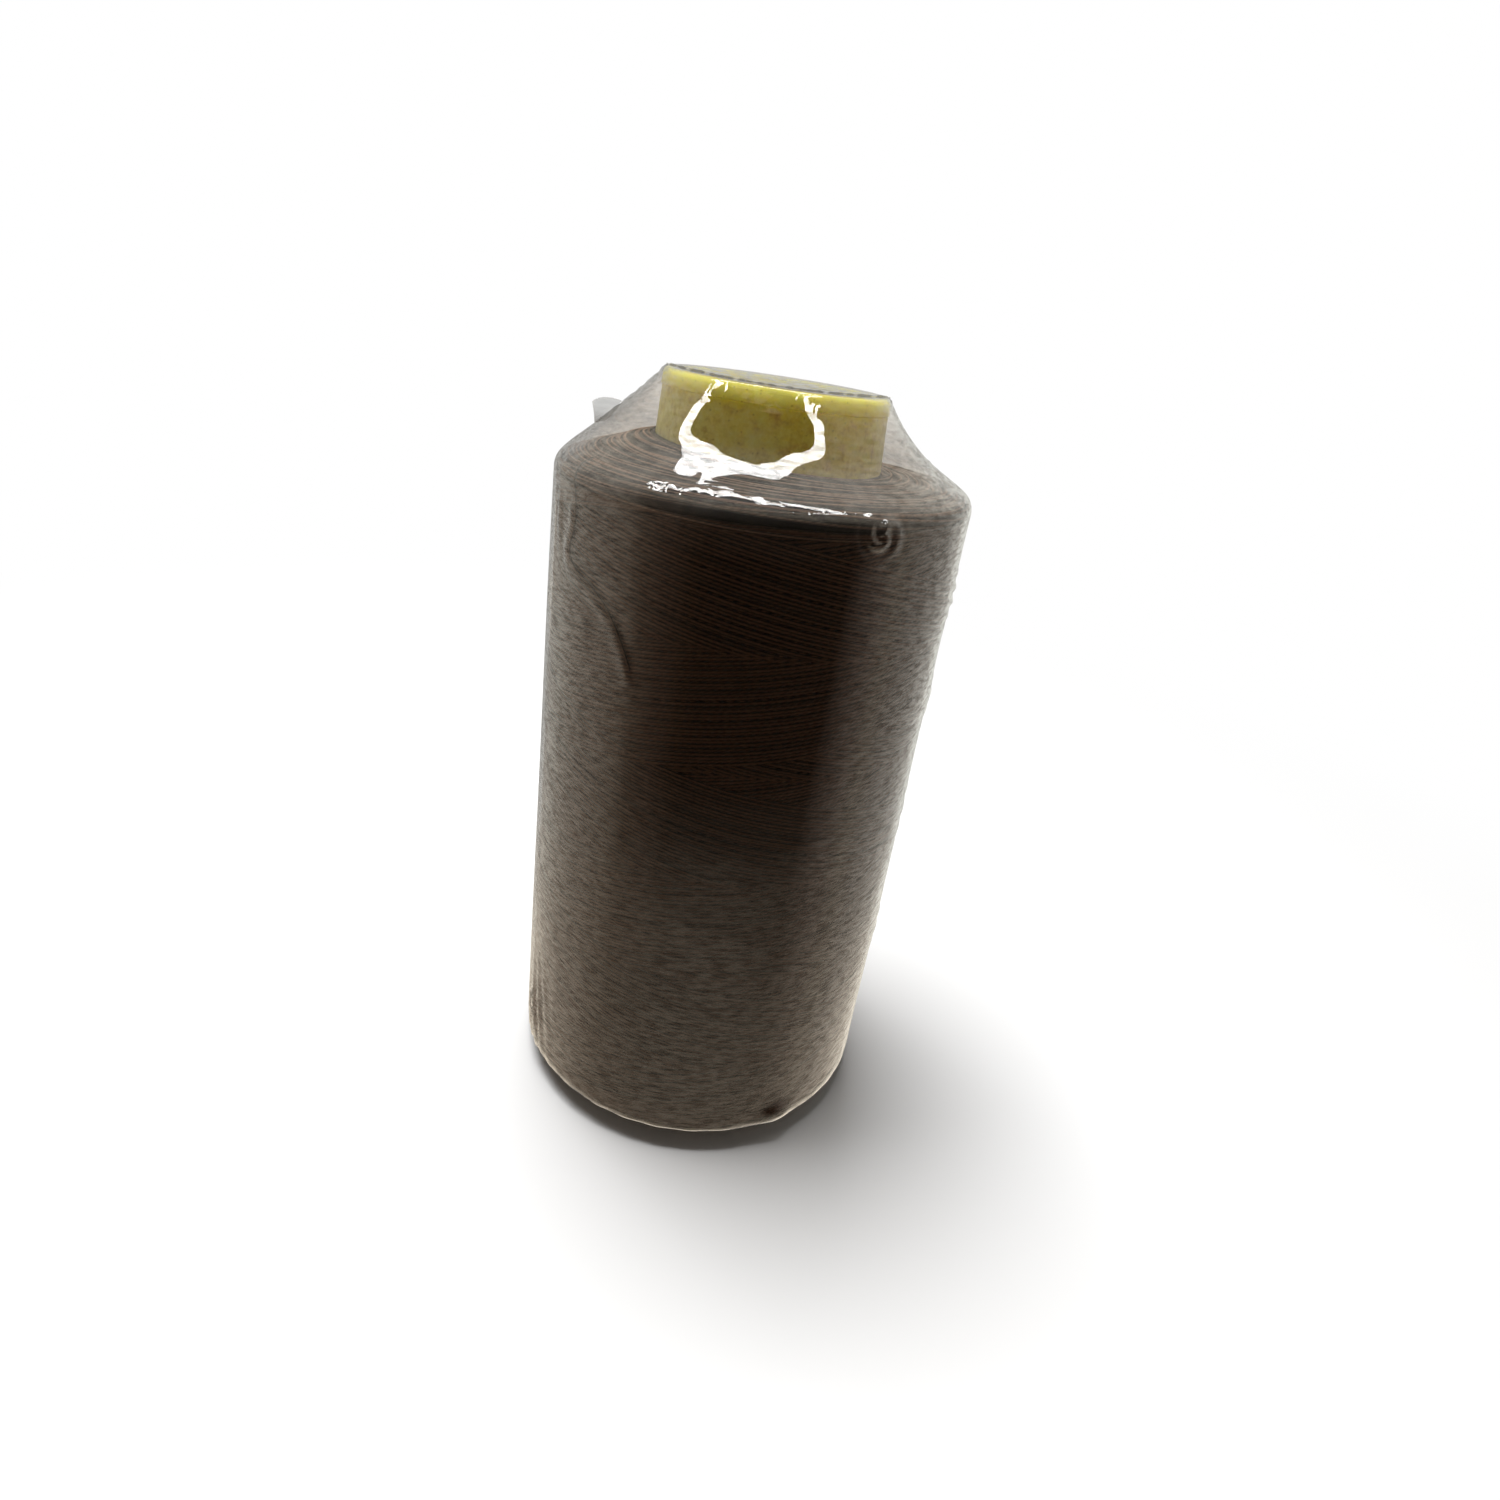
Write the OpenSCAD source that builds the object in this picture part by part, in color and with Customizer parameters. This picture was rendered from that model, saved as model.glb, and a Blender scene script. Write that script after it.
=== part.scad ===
// Cross-wound spool of sewing thread on a tapered plastic tube, sealed in a shrink-film bag.
// It stands on its foot. The axis is Z, and z = 0 is the underside of the film. Millimetres.

/* [Core tube] */
// Length of the tapered plastic tube
core_h = 125; // [110:1:140]
// Outside radius of the tube at its mouth, the narrow end
core_top_r = 17; // [15:0.1:18.5]
// Half angle of the tube's cone, in degrees
core_taper = 3.5; // [2.5:0.1:4]
// Wall of the tube
core_wall = 1.6; // [1.2:0.1:2.4]
// Height of the smooth rim band round the mouth
rim_h = 2.4; // [1.5:0.1:4]
// How far the rim band stands out of the cone
rim_out = 0.2; // [0.1:0.05:0.5]
// Height of the flange round the foot
foot_h = 0.9; // [0.6:0.1:1.2]
// How far the flange stands out of the cone
foot_out = 0.7; // [0.3:0.1:1.2]
// Width of the notch in the flange that grips the first end of the thread
notch_w = 1.2; // [0.8:0.1:2]
// Length of the tube that stands out of the winding at the mouth
tube_show = 9.5; // [7:0.5:14]
// Length of the tube left bare under the winding, for the transfer tail
foot_show = 4.05; // [3.8:0.05:6]

/* [Winding] */
// Radius of the wound thread at its base edge
winding_base_r = 32.55; // [31:0.05:36]
// Radius of the wound thread at its shoulder
winding_top_r = 32; // [30.5:0.05:36]
// Slope of the shoulder, in degrees
shoulder_slope = 12; // [8:1:20]
// Radius of the rounded edge of the shoulder
shoulder_round = 2.8; // [2.6:0.1:4.5]
// Radius of the rounded edge of the base
base_round = 1.5; // [1:0.1:2.5]

/* [Thread] */
// Diameter of the twisted thread
thread_d = 0.55; // [0.45:0.05:0.6]
// Loops of the layer that is wound down to the base
loops_down = 12; // [6:1:12]
// Loops of the layer that is wound back up to the shoulder
loops_up = 12; // [6:1:12]
// Clearance under the lower layer of loops
seat_gap = 0.3; // [0.3:0.05:0.4]
// Clearance where one layer of loops crosses the other
cross_gap = 0.45; // [0.43:0.01:0.6]
// Turns of the transfer tail round the bare foot
tail_turns = 2; // [1:1:2]

/* [Shrink film] */
// Thickness of the film
film_t = 0.15; // [0.1:0.01:0.2]
// Clearance between the film and what it is shrunk onto
film_gap = 0.15; // [0.1:0.05:0.3]
// Where the film leaves the shoulder's rounded edge: the angle of the edge's normal above level, in degrees
film_leave = 36; // [32:1:45]
// How far the lifted film keeps the direction in which it leaves the shoulder
film_rise = 1.7; // [1.2:0.1:2.5]
// Angle between the axis and the lifted film where it reaches the rim, in degrees
film_reach = 30; // [22:1:36]
// How far from the rim the lifted film keeps that direction
film_hang = 9; // [7:0.5:10]
// Depth of the shallow dish in the film over the mouth
mouth_dish = 0.5; // [0:0.1:1.5]
// Radius of the vent hole, drawn small by the shrinking
vent_r = 0.6; // [0.4:0.1:1.2]
// Width of the melted bead along a seal
seam_w = 0.5; // [0.3:0.1:1]
// Height that a seal's bead stands out of the film
seam_h = 0.45; // [0.3:0.05:0.8]
// How far the ear stands in from the radius of the winding's shoulder
ear_in = 7; // [6:0.5:8]
// Width of the ear left at the corner of the bag
ear_w = 3.2; // [2:0.1:5]
// Height of the ear over its inner edge
ear_h = 2; // [1.5:0.1:4]

/* [Hidden] */
$fn = 96;

// Colours
tube_yellow = [0.83, 0.68, 0.12];
thread_taupe = [0.24, 0.20, 0.185];
turn_taupe = [0.33, 0.28, 0.26];
film_clear = [0.86, 0.86, 0.88, 0.3];

// Clearances that only keep neighbours from touching
bore_gap = 0.1;      // between the winding's bore and the tube
end_gap = 0.05;      // between the loose end and the loops that it lies on
join_gap = 0.02;     // between a piece and the one that it is laid on or joined to

// Heights on the tube's axis
core_z0 = film_t;
mouth_z = core_z0 + core_h;
winding_z0 = core_z0 + foot_show;
junction_z = mouth_z - tube_show;

// Outside radius of the tube's plain cone at height z
function core_r(z) = core_top_r + (mouth_z - z) * tan(core_taper);
rim_r = core_top_r + rim_out;
foot_r = core_r(core_z0) + foot_out;

// How deep the loops lie under the film: two crossing layers, and the loose end over them
layer_step = thread_d + cross_gap;
turns_out = seat_gap + thread_d + layer_step;
stack = turns_out + end_gap + thread_d;

// The winding's profile: a sloping shoulder, a rounded edge and a nearly straight side
slope_z = junction_z - (winding_top_r - core_r(junction_z)) * tan(shoulder_slope);
arc_c = [winding_top_r - shoulder_round, slope_z - shoulder_round * tan((90 - shoulder_slope) / 2)];
base_c = [winding_base_r - base_round, winding_z0 + base_round];
side_tilt = atan((winding_base_r - winding_top_r) / (arc_c.y - base_c.y));
slope_angle = 90 - shoulder_slope;
core_round = shoulder_round - stack;
arc_len = core_round * (slope_angle - side_tilt) * PI / 180;

// Points on an arc, from angle a0 to a1
function arc_points(c, r, a0, a1, steps) =
    [for (i = [0 : steps]) let(a = a0 + (a1 - a0) * i / steps) c + r * [cos(a), sin(a)]];

// Angle of the outward normal at distance s down the profile, which is 0 at the top of the rounded edge
function skin_angle(s) =
    s < 0 ? slope_angle :
    s > arc_len ? side_tilt : slope_angle + (side_tilt - slope_angle) * s / arc_len;

// Point of the profile at distance s down it, and out from the bare winding core
function skin_point(s, out) =
    let(a = skin_angle(s),
        along = s < 0 ? s : max(s - arc_len, 0),
        edge = arc_c + (core_round + out) * [cos(a), sin(a)])
    edge + along * [sin(a), -cos(a)];

// The same point and normal, turned to an angle round the axis
function around(angle, p) = [p.x * cos(angle), p.x * sin(angle), p.y];
function skin_normal(angle, s) = around(angle, [cos(skin_angle(s)), sin(skin_angle(s))]);

// Loops of the outer turns
rings_per_loop = 24;
turn_sides = 6;
ring_step = 360 / rings_per_loop;
turns_angle = 208;
turns_top_s = -1.5;
turns_low_s = arc_len + arc_c.y - base_c.y - thread_d;
rings_down = loops_down * rings_per_loop;
rings_up = loops_up * rings_per_loop;
climb = rings_per_loop / 4;

// Distance down the profile at a ring: steadily down to the base, then steadily up again
function turns_s(i) =
    i < rings_down
    ? turns_top_s + (turns_low_s - turns_top_s) * i / rings_down
    : turns_low_s + (turns_top_s - turns_low_s) * (i - rings_down) / rings_up;

// Share of the climb from the lower layer to the upper, in the half turn where the spiral reverses
function smooth(t) = let(u = min(max(t, 0), 1)) u * u * (3 - 2 * u);
function turns_out_at(i) =
    seat_gap + thread_d / 2 + layer_step * smooth((i - rings_down + climb) / (2 * climb));
function turns_angle_at(i) = turns_angle + i * ring_step;

turns_path = [for (i = [0 : rings_down + rings_up])
    around(turns_angle_at(i), skin_point(turns_s(i), turns_out_at(i)))];
turns_normals = [for (i = [0 : rings_down + rings_up]) skin_normal(turns_angle_at(i), turns_s(i))];
turns_last = len(turns_path) - 1;
turns_start = turns_path[0] - thread_d * unit(turns_path[1] - turns_path[0]);
turns_heading = unit(turns_path[turns_last] - turns_path[turns_last - 1]);
turns_end = turns_path[turns_last] + thread_d * turns_heading;

// Route of the loose end: angle round the axis and distance down the profile
end_route = [[212, -1.3], [215, 0.8], [217.5, 4], [217, 7.3], [215, 10], [216, 12],
             [220, 13.1], [226, 14.1], [232, 15.9], [236.5, 18.5], [240, 21.5], [242, 24.1]];
end_sides = 8;
end_steps = 2;
end_rise = 3;

// Points on a smooth curve through a route, with its ends repeated
function curve_point(a, b, c, d, t) =
    0.5 * (2 * b + (c - a) * t + (2 * a - 5 * b + 4 * c - d) * t * t + (3 * b - a - 3 * c + d) * t * t * t);
function curve(route, steps) =
    let(last = len(route) - 1)
    concat([for (i = [0 : last - 1], k = [0 : steps - 1])
        curve_point(route[max(i - 1, 0)], route[i], route[i + 1], route[min(i + 2, last)], k / steps)],
        [route[last]]);

// Transfer tail: a helix on the bare foot, down to the notch
tail_pitch = thread_d + cross_gap;
tail_top_z = winding_z0 - thread_d;
tail_angle = 40;
function tail_point(i) =
    let(z = tail_top_z - tail_pitch * i / rings_per_loop,
        angle = tail_angle + i * ring_step)
    around(angle, [core_r(z) + seat_gap + thread_d / 2, z]);

// Line of the film's inner face, from the middle of its underside to the middle of the mouth
foot_corner = [foot_r + film_gap, core_z0];
rim_corner = [rim_r + film_gap, mouth_z + film_gap];
film_base_round = base_round + film_gap;
to_foot = foot_corner - base_c;
base_tangent = atan2(to_foot.y, to_foot.x) + acos(film_base_round / norm(to_foot));
arc_share = 0.9;     // the arc stops just short of the angle at which the lifted film starts
film_shoulder = arc_points(arc_c, shoulder_round + film_gap, side_tilt, arc_share * film_leave, 4);
film_land = arc_c + (shoulder_round + film_gap) * [cos(film_leave), sin(film_leave)];
tent_low = film_land + film_rise * [-sin(film_leave), cos(film_leave)];
tent_high = rim_corner + film_hang * [sin(film_reach), -cos(film_reach)];
tent_steps = 12;
film_tent = [for (i = [0 : tent_steps]) let(t = i / tent_steps)
    pow(1 - t, 3) * film_land + 3 * t * pow(1 - t, 2) * tent_low
    + 3 * t * t * (1 - t) * tent_high + pow(t, 3) * rim_corner];
film_flat_r = rim_r / 8.6;
film_mouth = concat(
    [for (i = [1 : 5]) let(q = 1 - i / 5)
        [film_flat_r + (rim_corner.x - film_flat_r) * q, rim_corner.y - mouth_dish * (1 - q * q)]],
    [[0, rim_corner.y - mouth_dish]]);
film_base = concat([[0, core_z0], foot_corner], arc_points(base_c, film_base_round, base_tangent, side_tilt, 6));
film_line = concat(film_base, film_shoulder, film_tent, film_mouth);

// A line moved sideways by a distance, to the right of the way that it runs
function right_of(v) = [v.y, -v.x] / norm(v);
function moved(line, by) =
    let(last = len(line) - 1)
    [for (i = [0 : last])
        let(before = right_of(line[max(i, 1)] - line[max(i, 1) - 1]),
            after = right_of(line[min(i, last - 1) + 1] - line[min(i, last - 1)]))
        line[i] + by * (before + after) / (1 + before * after)];
function reversed(list) = [for (i = [len(list) - 1 : -1 : 0]) list[i]];

// Closed outline of a band that follows a line, from one distance outside it to another
function band(line, from, to) = concat(moved(line, from), reversed(moved(line, to)));
seam_from = film_t + join_gap;
seam_to = seam_from + seam_h;

// Points of the lifted film where the ear stands and where the seal across the mouth stops short of it
function tent_point(r) = [r, lookup(r, reversed(film_tent))];
ear_r = winding_top_r - ear_in;
ear_low = tent_point(ear_r + ear_w);
ear_high = tent_point(ear_r);
seam_end = tent_point(ear_r - seam_w);

function unit(v) = v / norm(v);

// One ring of a swept tube round p, square to the way from a to b, with its first corner along the normal
function ring(a, p, b, normal, radius, sides) =
    let(t = unit(b - a), n = unit(normal - (normal * t) * t), m = cross(t, n))
    [for (k = [0 : sides - 1]) p + radius * (cos(360 * k / sides) * n + sin(360 * k / sides) * m)];

// A closed tube along a path, with flat ends
module swept_tube(path, normals, radius, sides) {
    last = len(path) - 1;
    corners = [for (i = [0 : last])
        each ring(path[max(i - 1, 0)], path[i], path[min(i + 1, last)], normals[i], radius, sides)];
    walls = [for (i = [0 : last - 1], k = [0 : sides - 1])
        let(a = i * sides + k, b = i * sides + (k + 1) % sides)
        each [[a, a + sides, b + sides], [a, b + sides, b]]];
    first_cap = [for (k = [1 : sides - 2]) [0, k, k + 1]];
    last_cap = [for (k = [1 : sides - 2]) [last * sides, last * sides + k + 1, last * sides + k]];
    polyhedron(points = corners, faces = concat(walls, first_cap, last_cap));
}

// Least gap between the loops: chords in one sector are compared with each other at four points each
function chord_samples(path, i) = [for (t = [0 : 3]) path[i] + (path[i + 1] - path[i]) * t / 4];
function least_gap(path, diameter) =
    let(loops = floor((len(path) - 1) / rings_per_loop))
    min([for (sector = [0 : rings_per_loop - 1])
        let(chords = [for (loop = [0 : loops - 1]) chord_samples(path, loop * rings_per_loop + sector)])
        for (p = [0 : loops - 2], q = [p + 1 : loops - 1], u = chords[p], v = chords[q]) norm(u - v)]) - diameter;

// Tapered tube, open at both ends, with a smooth rim, a foot flange and the thread notch
module core_tube() {
    lip = core_wall / 2 + rim_out / 2;
    rim_z = mouth_z - rim_h;
    foot_top = core_z0 + foot_h;
    outside = [[foot_r, core_z0], [foot_r, foot_top - foot_out / 3], [foot_r - foot_out / 3, foot_top],
               [core_r(foot_top), foot_top], [core_r(rim_z), rim_z], [core_r(rim_z) + rim_out, rim_z + rim_out]];
    rounded_lip = arc_points([rim_r - lip, mouth_z - lip], lip, 0, 180, 10);
    inside = [[core_r(core_z0) - core_wall, core_z0]];
    color(tube_yellow)
        difference() {
            rotate_extrude() polygon(concat(outside, rounded_lip, inside));
            rotate([0, 0, tail_angle])
                translate([core_r(core_z0), -notch_w / 2, 0])
                    cube([2 * foot_out, notch_w, foot_top + foot_out]);
        }
}

// Body of the wound thread under the outer turns
module winding_core() {
    core_base = [base_c.x - stack, base_c.y];
    slope_foot = skin_point(0, 0);
    fall = tan(shoulder_slope);
    taper = tan(core_taper);
    meet_r = (core_r(slope_foot.y) + bore_gap - taper * fall * slope_foot.x) / (1 - taper * fall);
    meet = [meet_r, slope_foot.y + (slope_foot.x - meet_r) * fall];
    color(thread_taupe)
        rotate_extrude()
            polygon(concat([[core_r(winding_z0) + bore_gap, winding_z0]],
                           arc_points(core_base, base_round, -90, side_tilt, 6),
                           arc_points(arc_c, core_round, side_tilt, slope_angle, 6),
                           [meet]));
}

// The last turns of the winding: one thread, down to the base and back up across itself
module outer_turns() {
    echo(least_gap_of_turns_mm = least_gap(turns_path, thread_d));
    color(turn_taupe)
        swept_tube(concat([turns_start], turns_path, [turns_end]),
                   concat([turns_normals[0]], turns_normals, [turns_normals[turns_last]]),
                   thread_d / 2, turn_sides);
}

// First end of the thread, kept free round the foot so that it can be tied to the next spool
module transfer_tail() {
    rings = tail_turns * rings_per_loop;
    path = [for (i = [0 : rings]) tail_point(i)];
    echo(least_gap_of_tail_mm = tail_pitch - thread_d);
    color(turn_taupe)
        swept_tube(path, [for (i = [0 : rings]) around(tail_angle + i * ring_step, [1, 0])],
                   thread_d / 2, turn_sides);
}

// Last end of the thread, lying loose on the winding under the film
module loose_end() {
    route = curve(end_route, end_steps);
    path = [for (p = route)
        let(rise = smooth((p.y - turns_top_s) / end_rise))
        around(p.x, skin_point(p.y, turns_out - thread_d / 2 + rise * (end_gap + thread_d)))];
    normals = [for (p = route) skin_normal(p.x, p.y)];
    first = turns_normals[turns_last];
    color(turn_taupe)
        swept_tube(concat([turns_end + join_gap * turns_heading, turns_end + thread_d * turns_heading], path),
                   concat([first, first], normals), thread_d / 2, end_sides);
}

// Closed bag of clear film, tight on the winding and drawn in over the mouth, with its vent hole
module shrink_film() {
    vent_angle = 300;
    vent_tilt = 20;
    color(film_clear)
        difference() {
            rotate_extrude() polygon(concat(film_line, reversed(moved(film_line, film_t))));
            rotate([0, 0, vent_angle])
                translate([arc_c.x, 0, arc_c.y])
                    rotate([0, 90 - vent_tilt, 0])
                        cylinder(r = vent_r, h = 2 * shoulder_round);
        }
}

// An upright band in the plane of the seals
module seal_band(outline, width) {
    rotate([90, 0, 0])
        linear_extrude(height = width, center = true)
            polygon(outline);
}

// Seal across the mouth and down the lifted film on both sides
module top_seal_seam() {
    over = concat(film_tent, film_mouth);
    back_over = [for (i = [len(over) - 2 : -1 : 0]) if (over[i].x < seam_end.x - seam_w) [-over[i].x, over[i].y]];
    line = concat(over, back_over, [[-seam_end.x, seam_end.y]]);
    color(film_clear)
        seal_band(band(line, seam_from, seam_to), seam_w);
}

// Seal down the side of the bag, from the shoulder to the base edge
module side_seal_seam() {
    base_edge = arc_points(base_c, film_base_round, base_tangent / 2, side_tilt, 3);
    color(film_clear)
        seal_band(band(concat(base_edge, film_shoulder), seam_from, seam_to), seam_w);
}

// Corner of the bag, standing up as a thin ear
module seal_ear() {
    top = ear_high.y + ear_h;
    fall = unit(ear_low - ear_high);
    foot = (seam_from + join_gap) / fall.x;
    color(film_clear)
        mirror([1, 0, 0])
            seal_band([[ear_low.x, ear_low.y + foot], [ear_low.x - ear_w / 8, top - ear_h / 4],
                       [ear_low.x - ear_w / 3, top], [ear_r + ear_w / 3, top - ear_h / 6],
                       [ear_r, ear_high.y + foot]], film_t);
}

core_tube();
winding_core();
outer_turns();
transfer_tail();
loose_end();
shrink_film();
top_seal_seam();
side_seal_seam();
seal_ear();
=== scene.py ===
"""Cross-wound thread spool sealed in shrink film: its looks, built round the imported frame.

Units are metres. Sizes written in millimetres are multiplied by MM. Angles round the axis go
anticlockwise from +X, seen from above, in radians unless they are said to be degrees. The winding's
surface is followed by s, the distance down its profile: s is 0 where the shoulder's slope turns into
its rounded edge, less on the slope, and more on the side and under the base.
"""

import bpy
import numpy as np
from mathutils import Matrix, Vector


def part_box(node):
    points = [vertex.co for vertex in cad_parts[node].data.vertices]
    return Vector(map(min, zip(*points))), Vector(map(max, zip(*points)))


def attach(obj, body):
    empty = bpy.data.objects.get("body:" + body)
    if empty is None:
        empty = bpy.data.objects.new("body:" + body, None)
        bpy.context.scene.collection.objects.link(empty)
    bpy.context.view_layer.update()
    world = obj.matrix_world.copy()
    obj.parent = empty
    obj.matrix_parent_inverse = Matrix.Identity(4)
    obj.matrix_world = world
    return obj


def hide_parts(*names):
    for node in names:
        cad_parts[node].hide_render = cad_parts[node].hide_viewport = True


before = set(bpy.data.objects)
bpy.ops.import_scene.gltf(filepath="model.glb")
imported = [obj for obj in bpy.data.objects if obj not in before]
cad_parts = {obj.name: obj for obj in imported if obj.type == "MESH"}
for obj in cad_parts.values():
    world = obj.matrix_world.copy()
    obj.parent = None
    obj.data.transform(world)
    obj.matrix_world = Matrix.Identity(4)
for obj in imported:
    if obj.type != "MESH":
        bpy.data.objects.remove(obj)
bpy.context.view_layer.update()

MM = 0.001
TURN = 2 * np.pi

# The frame: the tube, the film and the winding between them
TUBE_LOW, TUBE_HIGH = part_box("core_tube")
FILM_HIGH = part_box("shrink_film")[1]
WOUND_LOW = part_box("winding_core")[0]
MOUTH_Z = TUBE_HIGH.z
FILM_WALL = TUBE_LOW.z
FILM_GAP = 0.15 * MM

# The tube: its foot, its taper, and how much of it stands out of the winding
FOOT_R = TUBE_HIGH.x
FOOT_FLANGE = 0.7 * MM
TAPER = np.tan(np.radians(3.5))
TUBE_SHOW = 9.5 * MM

# The winding: its radius at the base and at the narrower top, its slope and its rounded edges
SIDE_TAPER = 0.55 * MM
BASE_R = FILM_HIGH.y - FILM_WALL - FILM_GAP
TOP_R = BASE_R - SIDE_TAPER
BASE_Z = WOUND_LOW.z
SHOULDER_SLOPE = np.radians(12)
SHOULDER_ROUND = 2.8 * MM
BASE_ROUND = 1.5 * MM

# The shoulder's tilt: the rise of its outer edge at +X, how much less that is at the tube, the slope's
# length, and the stretch of the side over which the tilt ends
EDGE_TILT = 0.8 * MM
TILT_CHANGE = 1.7 * MM
TILT_SLOPE = 12 * MM
TILT_ENDS = (2 * MM, 16 * MM)

# The thread: its diameters, the length in which its plies twist once, and how far it sinks under a crossing
THREAD_D = 0.60 * MM
SHOULDER_THREAD_D = 0.5 * MM
LOOSE_THREAD_D = 0.42 * MM
PLY_TWIST = 1.15 * MM
LAYER_STEP = 0.26 * MM

# The winding's strokes. A cycle is one stroke down and one back up, and the newest starts at this share of
# a turn. Each turn of the mesh has this many circles.
CYCLES = 62
TURNS_PER_CYCLE = 6
NEWEST_START = 247 / 360
RINGS_PER_TURN = 58

# Where the strokes turn back: heights that they would reach without rounding, and the turns that it takes
VIRTUAL_TOP_Z = 111.0 * MM
VIRTUAL_LOW_Z = 0.6 * MM
TOP_TURNROUND = 0.16
LOW_TURNROUND = 0.45

# How far strokes stray to one side and sway, how often they sway, and the share of a crossing in which
# thread sinks under another
STRAY_SIDE = 0.09 * MM
STRAY_SWAY = 0.11 * MM
STROKE_SWAYS_PER_TURN = 0.31
SINK_SHARE = 0.045

# The arcs where the thread turns back: circles of their mesh, sways and knots of shade in a turn
ARC_RINGS_PER_TURN = 96
ARC_SWAYS_PER_TURN = 1.382
KNOTS_PER_TURN = 5

# Shades: how much darker a dark stroke or knot is, the share of them that is dark, and how far two cycles
# together are lighter or darker. Dark strokes and knots are painted shadow lines, for the shade at the
# edges of layers and in the gaps between loops.
DARK_STROKE, DARK_STROKES = 1.8, 0.14
DARK_KNOT, DARK_KNOTS = 2.4, 0.35
CYCLES_SHADE = 0.5
PLAIN_SHADE = 0.4
# The loose end's shade is painted darker, for the shadow along it.
LOOSE_END_SHADOW_SHADE = -1.2

# The transfer tail: where it starts on the foot, its turns and their pitch, and its gap to the tube
TAIL_START = np.radians(40)
TAIL_TOP_Z = 3.65 * MM
TAIL_TURNS = 2
TAIL_PITCH = 1.0 * MM
TAIL_GAP = 0.05 * MM

# Route of the loose end: degrees round the axis, and millimetres down the profile
END_ROUTE = [(212, -1.3), (215, 2.2), (217.5, 7.3), (217, 10.6), (215, 13.3), (216, 15.3), (220, 16.4),
             (226, 17.4), (232, 19.2), (236.5, 21.8), (240, 24.8), (242, 27.4)]

# The film over the mouth: the rounded lip that it bends over, and its dip in the middle
RIM_R = 17.2 * MM
LIP_ROUND = 0.9 * MM
LIP_R, LIP_Z = RIM_R - LIP_ROUND, MOUTH_Z - LIP_ROUND
LIP_HOLD = LIP_ROUND + FILM_GAP
LIP_REACH = np.radians(30)
MOUTH_DISH = 0.8 * MM

# The film's walls
FILM_THICK = 0.05 * MM
EAR_THICK = 0.08 * MM

# The lifted film: the slope at which it leaves the shoulder, and, at the front, the right and the left, the
# pull of its curve there in millimetres, the slope in degrees at which it reaches the rim, and its pull
# there
FILM_LEAVE = np.radians(36)
LEAVE_PULL = (1.7, 1.7, 1.9)
FILM_REACH = (30, 29, 41)
REACH_PULL = (9.0, 9.0, 7.2)

# Rows of the film: 0 to 1 the mouth, to 2 the lifted film, to 3 the side, and to 4 the underside. It bends
# over the lip from LIP_ROW, and reaches the foot at FOOT_ROW.
LIP_ROW = 0.7
FOOT_ROW = 3.6

# In millimetres: the side's radius, and the height at which s is 0
SIDE_R_MM = 32.5
EDGE_Z_MM = 113.5

# Places of wrinkles: degrees round the axis, and millimetres up
VENT = (300.4, 110.2)
UPPER_LEFT_FOLDS = (203, 92)
SHOULDER_LEFT_FOLDS = (208, 104)
GATHER = (209, 13)
TUCK = (302.5, 6.5)
CREASE = (253, 112)

# Folds at the right edge: how far they stand out, their middle and extent in millimetres up and then in
# degrees from +X, their lean in millimetres a degree, and the spacing of their waves in millimetres
RIGHT_FOLDS = [(0.5, 99, 3.6, -16, 16, 0.10, 2.3), (0.45, 82, 3.4, -14, 14, -0.08, 2.6),
               (0.22, 60, 5.0, -10, 14, 0.06, 4.0), (0.3, 36, 4.0, -12, 13, 0.10, 3.4)]

# The bag's corner: the outer end of its foot, its length inwards, its height there in millimetres, and how
# much of that it loses over its length
EAR_R = 27.1 * MM
EAR_LENGTH = 3.5 * MM
EAR_HIGH = 3.4
EAR_FALL = 2.7

# The film's gloss where it is seen head on, for each of its two faces
GLOSS_HEAD_ON = 0.042

# How crinkled, how milky and how clear the film is, at heights given as shares of the mouth's
FILM_CRINKLES = [(0.0, 0.3), (0.06, 0.02), (0.85, 0.015), (0.881, 0.02), (0.89, 0.9), (0.9, 0.9),
                 (0.907, 0.05), (0.975, 0.05), (0.986, 0.7), (1.0, 0.6)]
FILM_SLACK = [(0.0, 0.06), (0.05, 0.03), (0.84, 0.025), (0.885, 0.5), (0.925, 0.6), (0.945, 0.15),
              (0.985, 0.1), (0.993, 0.5), (0.9965, 0.7), (1.0, 0.7)]
FILM_CLEAR = [(0.0, 0.87), (0.95, 0.87), (0.985, 0.96), (1.0, 0.96)]

rng = np.random.default_rng(7)


def smooth(t):
    """Smooth step from 0 to 1."""
    t = np.clip(t, 0, 1)
    return t * t * (3 - 2 * t)


def way(x, start, end):
    """How far x is on its way from start to end, from 0 to 1."""
    return np.clip((x - start) / (end - start), 0, 1)


def hill(x, width):
    """A bell curve, exp(-(x / width) squared)."""
    return np.exp(-(x / width) ** 2)


def bands(phase):
    """A wave from 0 to 1, highest where the phase is 0."""
    return 0.5 + 0.5 * np.cos(phase)


def arc(centre, radius, start, end, steps):
    """Points on a circle's arc, from one angle to another."""
    a = np.linspace(start, end, steps)
    return np.stack([centre[0] + radius * np.cos(a), centre[1] + radius * np.sin(a)], -1)


def tube_r(z):
    """Outside radius of the tube's plain cone at height z."""
    return FOOT_R - FOOT_FLANGE - (z - TUBE_LOW.z) * TAPER


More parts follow.
